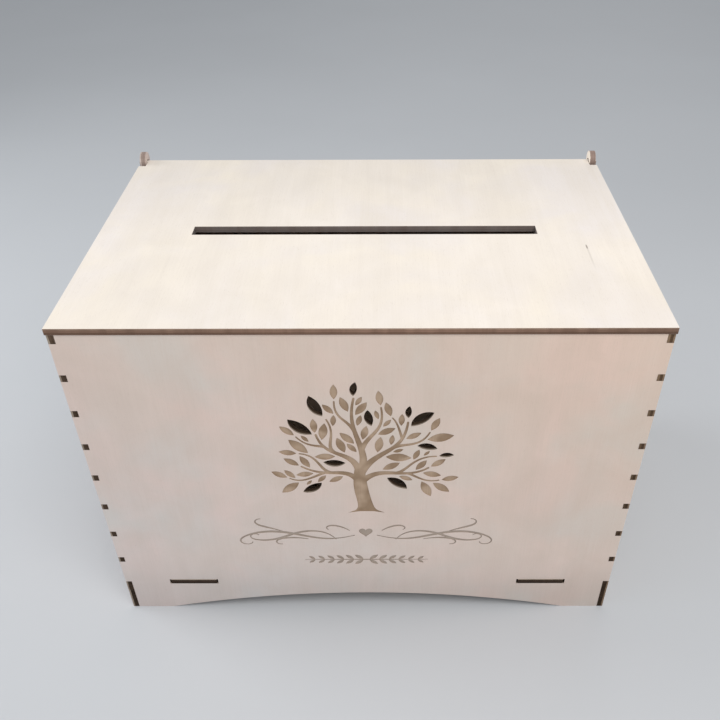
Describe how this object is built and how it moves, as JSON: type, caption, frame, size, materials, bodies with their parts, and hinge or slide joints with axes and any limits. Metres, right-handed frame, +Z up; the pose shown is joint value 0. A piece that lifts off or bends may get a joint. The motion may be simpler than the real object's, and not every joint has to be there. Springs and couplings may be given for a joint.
{
  "type": "wedding card box",
  "caption": "Plywood card box with finger-jointed walls on arched feet, a pierced tree on the front, and a pegged hinged lid with a card slot.",
  "frame": {"origin": "on the floor, under the middle of the closed box's whole outline, hinge ears and pegs included", "axes": "+X to the right across the width, +Y from the front panel to the hinge, +Z up"},
  "size_m": [0.303, 0.2046, 0.2199],
  "materials": {
    "wall_ply": "bare birch plywood, sanded, with scorched laser-cut edges",
    "lid_ply": "bare birch plywood with a brighter face veneer, sanded, with scorched laser-cut edges",
    "base_ply": "bare birch plywood, plain inner grade"
  },
  "bodies": {
    "carcass": {"front_panel": "wall_ply", "rear_panel": "wall_ply", "left_side": "wall_ply", "right_side": "wall_ply", "base_panel": "base_ply"},
    "lid": {"lid": "lid_ply"}
  },
  "joints": [
    {"name": "lid_hinge", "type": "hinge", "parent": "carcass", "child": "lid", "pos_m": [0, 0.09668, 0.2122], "axis": [-1, 0, 0], "range_deg": [0, 200]}
  ]
}
